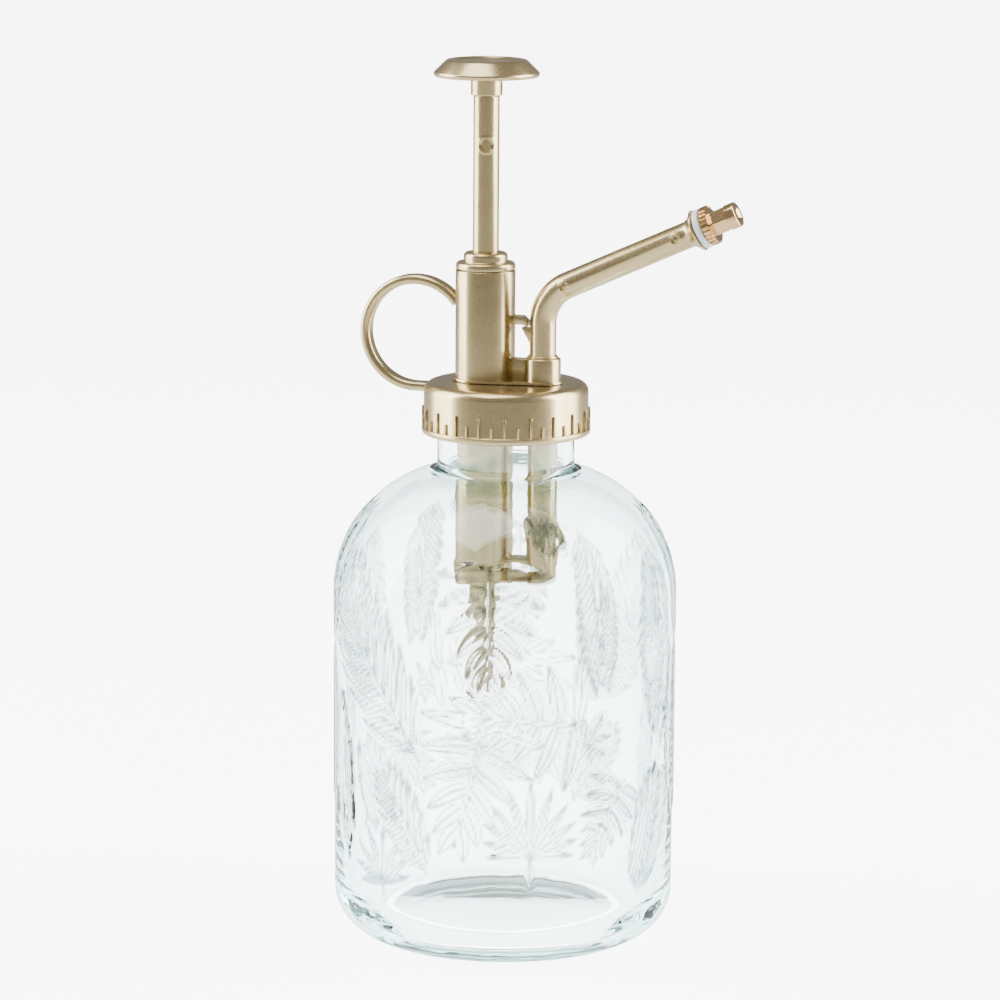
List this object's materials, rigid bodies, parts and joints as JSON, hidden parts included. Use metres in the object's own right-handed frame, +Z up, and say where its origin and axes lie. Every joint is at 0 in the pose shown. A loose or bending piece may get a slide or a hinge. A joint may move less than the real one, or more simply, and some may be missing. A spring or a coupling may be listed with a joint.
{
  "type": "hand mister",
  "caption": "Plant mister: clear glass bottle with a screw-on thumb pump, finger ring, bent spout and adjustable nozzle.",
  "frame": {"origin": "centre of the bottle's base, on the surface it stands on", "axes": "+Z up along the bottle's axis, +X from the finger ring towards the spout"},
  "size_m": [0.0955, 0.0792, 0.2033],
  "materials": {
    "clear_glass": "clear, smooth",
    "satin_gold": "metallic champagne gold paint, satin",
    "polished_brass": "turned, polished",
    "white_washer": "plain",
    "seal_rubber": "moulded",
    "natural_plastic": "moulded",
    "spring_steel": "drawn wire and ground balls"
  },
  "bodies": {
    "bottle": {"bottle": "clear_glass"},
    "gasket": {"neck_gasket": "seal_rubber"},
    "head": {"screw_cap": "satin_gold", "barrel_shell": "satin_gold", "pump_cylinder": "satin_gold", "gland_nut": "satin_gold", "rod_seal": "seal_rubber", "finger_ring": "satin_gold", "foot_valve": "satin_gold", "ball_cage": "natural_plastic", "dip_tube": "satin_gold", "outlet_plug": "natural_plastic", "outlet_spring": "spring_steel", "return_spring": "spring_steel", "spout": "satin_gold", "spout_o_ring": "seal_rubber", "nozzle_washer": "white_washer"},
    "plunger": {"thumb_knob": "satin_gold", "plunger_rod": "satin_gold", "piston": "natural_plastic", "piston_seal": "seal_rubber"},
    "nozzle": {"nozzle": "polished_brass", "swirl_core": "polished_brass"},
    "inlet_ball": {"inlet_ball": "spring_steel"},
    "outlet_ball": {"outlet_ball": "spring_steel"}
  },
  "joints": [
    {"name": "cap_rise", "type": "slide", "parent": "bottle", "child": "gasket", "axis": [0, 0, 1], "range_m": [0, 0.0049], "stiffness_N_per_m": 2, "springref_m": 0.1058},
    {"name": "cap_turn", "type": "hinge", "parent": "gasket", "child": "head", "pos_m": [0, 0, 0.1296], "axis": [0, 0, 1], "range_deg": [0, 540]},
    {"name": "plunger_press", "type": "slide", "parent": "head", "child": "plunger", "axis": [0, 0, -1], "range_m": [0, 0.035], "stiffness_N_per_m": 220, "springref_m": -0.012, "deforming": ["return_spring"]},
    {"name": "nozzle_adjust", "type": "hinge", "parent": "head", "child": "nozzle", "pos_m": [0.04566, 0, 0.16666], "axis": [0.9107, 0, 0.4131], "range_deg": [0, 540]},
    {"name": "inlet_lift", "type": "slide", "parent": "head", "child": "inlet_ball", "axis": [0, 0, 1], "range_m": [0, 0.0012]},
    {"name": "outlet_lift", "type": "slide", "parent": "head", "child": "outlet_ball", "axis": [0, 0, 1], "range_m": [0, 0.0012], "stiffness_N_per_m": 20, "springref_m": -0.001, "deforming": ["outlet_spring"]}
  ],
  "couplings": [
    {"joint": "cap_rise", "follows": "cap_turn", "m_per_rad": 0.0005093}
  ]
}
